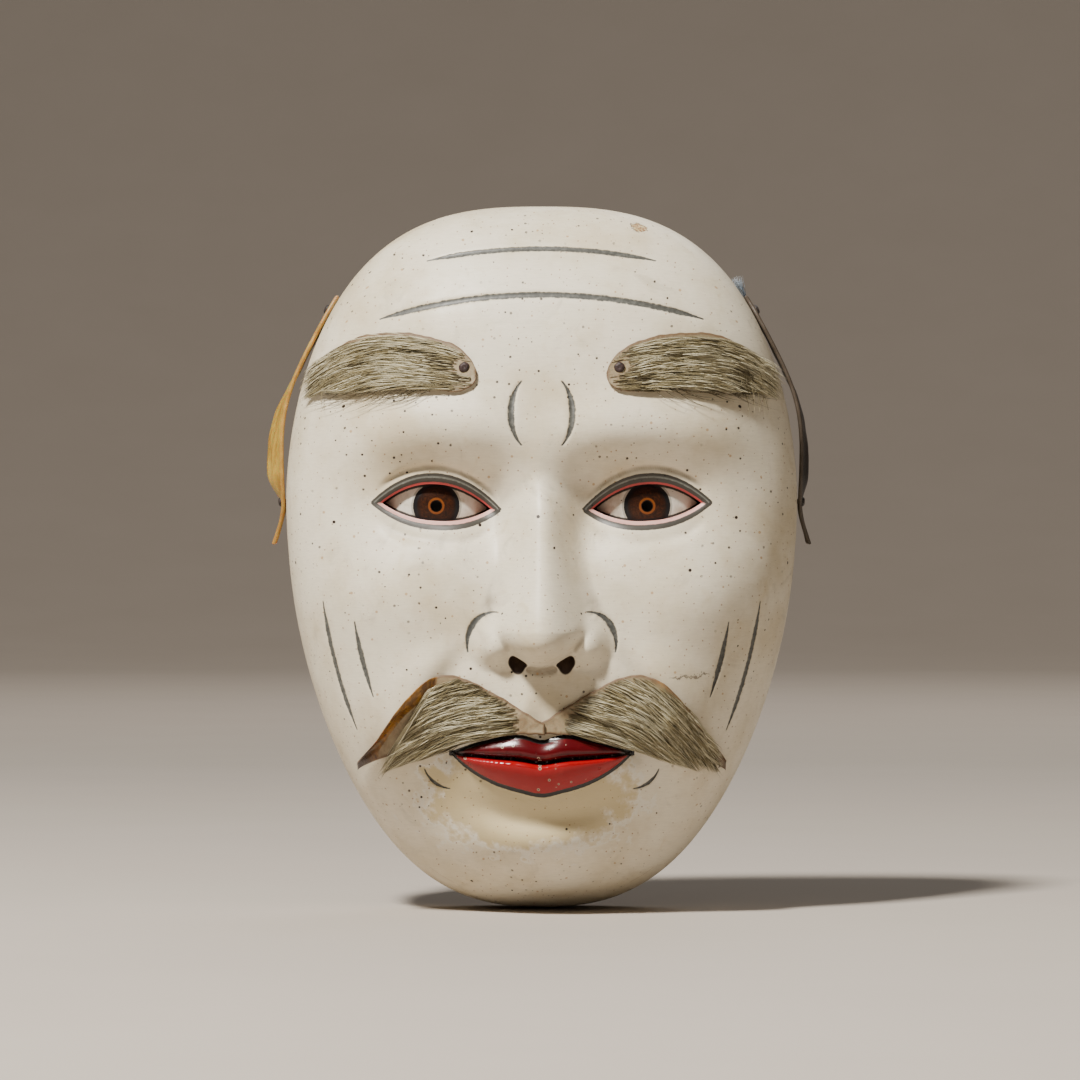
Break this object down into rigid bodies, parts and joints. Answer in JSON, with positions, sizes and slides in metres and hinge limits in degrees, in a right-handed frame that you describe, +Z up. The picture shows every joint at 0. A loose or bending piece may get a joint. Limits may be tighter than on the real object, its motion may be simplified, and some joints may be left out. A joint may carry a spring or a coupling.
{
  "type": "noh mask",
  "caption": "Carved wooden face mask with white paint, red lips and inlaid eyes, hide brows and moustache with hair, and hide strips pinned along its sides.",
  "frame": {"origin": "middle of the mask's outline on the plane of its back rim", "axes": "+Z up the face, -Y out of the face towards the viewer, +X to the viewer's right"},
  "size_m": [0.162, 0.0758, 0.21],
  "materials": {
    "painted_wood": "aged ivory paint over carved wood, softly polished, bare wood inside",
    "eye_inlay": "white painted wood with a brown iris, lacquer gloss",
    "brow_hide": "dry tan hide",
    "moustache_hide": "dry ochre hide, translucent at its thin edge",
    "straw_hair": "coarse straw and grey animal hair",
    "dark_peg": "dark wooden peg",
    "pale_rawhide": "translucent ochre rawhide",
    "dark_hide": "dark brown hide with a pale cut edge",
    "dark_tack": "dark forged tack",
    "grey_fibre": "frayed blue-grey fibre"
  },
  "bodies": {
    "root": {"mask_shell": "painted_wood", "left_eye": "eye_inlay", "right_eye": "eye_inlay", "left_brow_hide": "brow_hide", "right_brow_hide": "brow_hide", "left_brow_hair": "straw_hair", "right_brow_hair": "straw_hair", "left_brow_pins": "dark_peg", "right_brow_pins": "dark_peg", "left_moustache_hide": "moustache_hide", "right_moustache_hide": "moustache_hide", "left_moustache_hair": "straw_hair", "right_moustache_hair": "straw_hair", "left_moustache_pins": "dark_peg", "right_moustache_pins": "dark_peg", "left_side_strip": "pale_rawhide", "right_side_strip": "dark_hide", "left_strip_tacks": "dark_tack", "right_strip_tacks": "dark_tack", "right_strip_tuft": "grey_fibre"}
  },
  "joints": []
}
